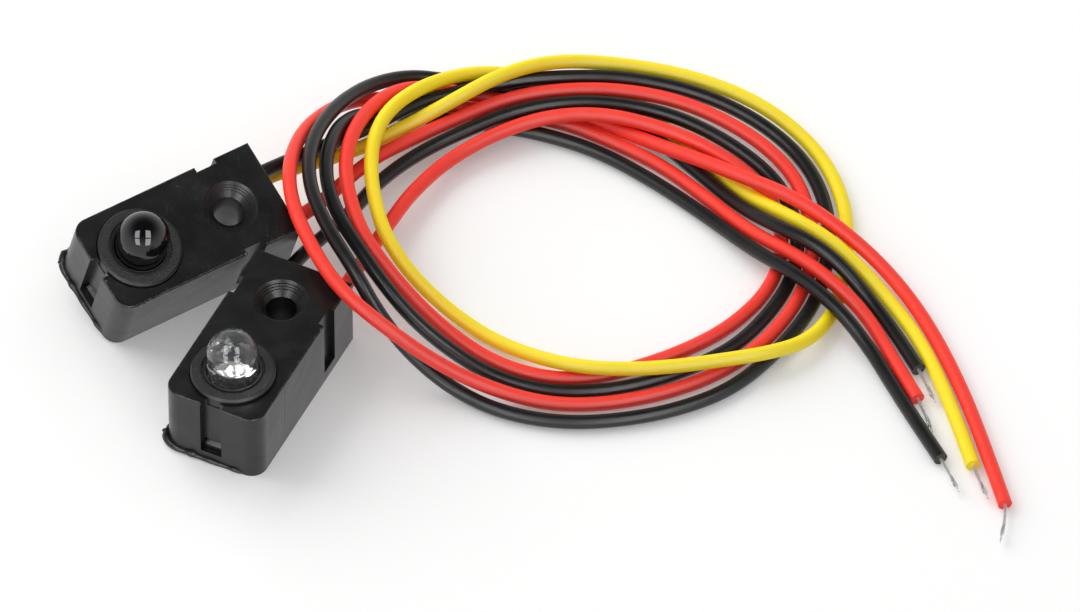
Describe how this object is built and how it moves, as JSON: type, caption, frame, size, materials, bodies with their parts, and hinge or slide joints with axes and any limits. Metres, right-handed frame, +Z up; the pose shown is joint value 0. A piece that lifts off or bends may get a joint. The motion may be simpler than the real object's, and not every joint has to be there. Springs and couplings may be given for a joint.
{
  "type": "infrared break beam sensor",
  "caption": "Infrared break beam pair: emitter and receiver in small black screw-down housings with round LED lenses and long coloured lead wires.",
  "frame": {"origin": "on the axis of the emitter's screw hole, in the plane of its base", "axes": "+Z up out of the emitter's countersunk hole, +Y along the emitter's housing towards its wires, +X to its right seen from above with the wires away"},
  "size_m": [0.0963, 0.0636, 0.0142],
  "materials": {
    "housing_plastic": "semi-matte moulded black plastic",
    "cover_plastic": "semi-matte moulded black plastic",
    "collar_plastic": "spark-eroded texture",
    "clear_lens": "polished, clear",
    "dark_lens": "polished, nearly black, passes infrared",
    "lead_metal": "tinned",
    "silicon": "polished chip",
    "board": "green solder mask",
    "resistor_body": "glazed black",
    "capacitor_body": "tan ceramic",
    "solder": "bright solder",
    "red_insulation": "satin soft plastic",
    "black_insulation": "satin soft plastic",
    "yellow_insulation": "satin soft plastic",
    "tinned_copper": "tinned strands"
  },
  "bodies": {
    "root": {"emitter_anode": "lead_metal", "emitter_base_cover": "cover_plastic", "emitter_black_wire": "black_insulation", "emitter_black_wire_inner_end": "tinned_copper", "emitter_black_wire_solder": "solder", "emitter_black_wire_tip": "tinned_copper", "emitter_cathode": "lead_metal", "emitter_chip": "silicon", "emitter_circuit_board": "board", "emitter_housing": "housing_plastic", "emitter_lead_solder_1": "solder", "emitter_lead_solder_2": "solder", "emitter_led_collar": "collar_plastic", "emitter_led_lens": "clear_lens", "emitter_red_wire": "red_insulation", "emitter_red_wire_inner_end": "tinned_copper", "emitter_red_wire_solder": "solder", "emitter_red_wire_tip": "tinned_copper", "emitter_resistor": "resistor_body", "receiver_base_cover": "cover_plastic", "receiver_black_wire": "black_insulation", "receiver_black_wire_inner_end": "tinned_copper", "receiver_black_wire_solder": "solder", "receiver_black_wire_tip": "tinned_copper", "receiver_capacitor": "capacitor_body", "receiver_chip": "silicon", "receiver_circuit_board": "board", "receiver_ground_lead": "lead_metal", "receiver_housing": "housing_plastic", "receiver_lead_solder_1": "solder", "receiver_lead_solder_2": "solder", "receiver_lead_solder_3": "solder", "receiver_led_collar": "collar_plastic", "receiver_led_lens": "dark_lens", "receiver_red_wire": "red_insulation", "receiver_red_wire_inner_end": "tinned_copper", "receiver_red_wire_solder": "solder", "receiver_red_wire_tip": "tinned_copper", "receiver_signal_lead": "lead_metal", "receiver_supply_lead": "lead_metal", "receiver_yellow_wire": "yellow_insulation", "receiver_yellow_wire_inner_end": "tinned_copper", "receiver_yellow_wire_solder": "solder", "receiver_yellow_wire_tip": "tinned_copper"}
  },
  "joints": []
}
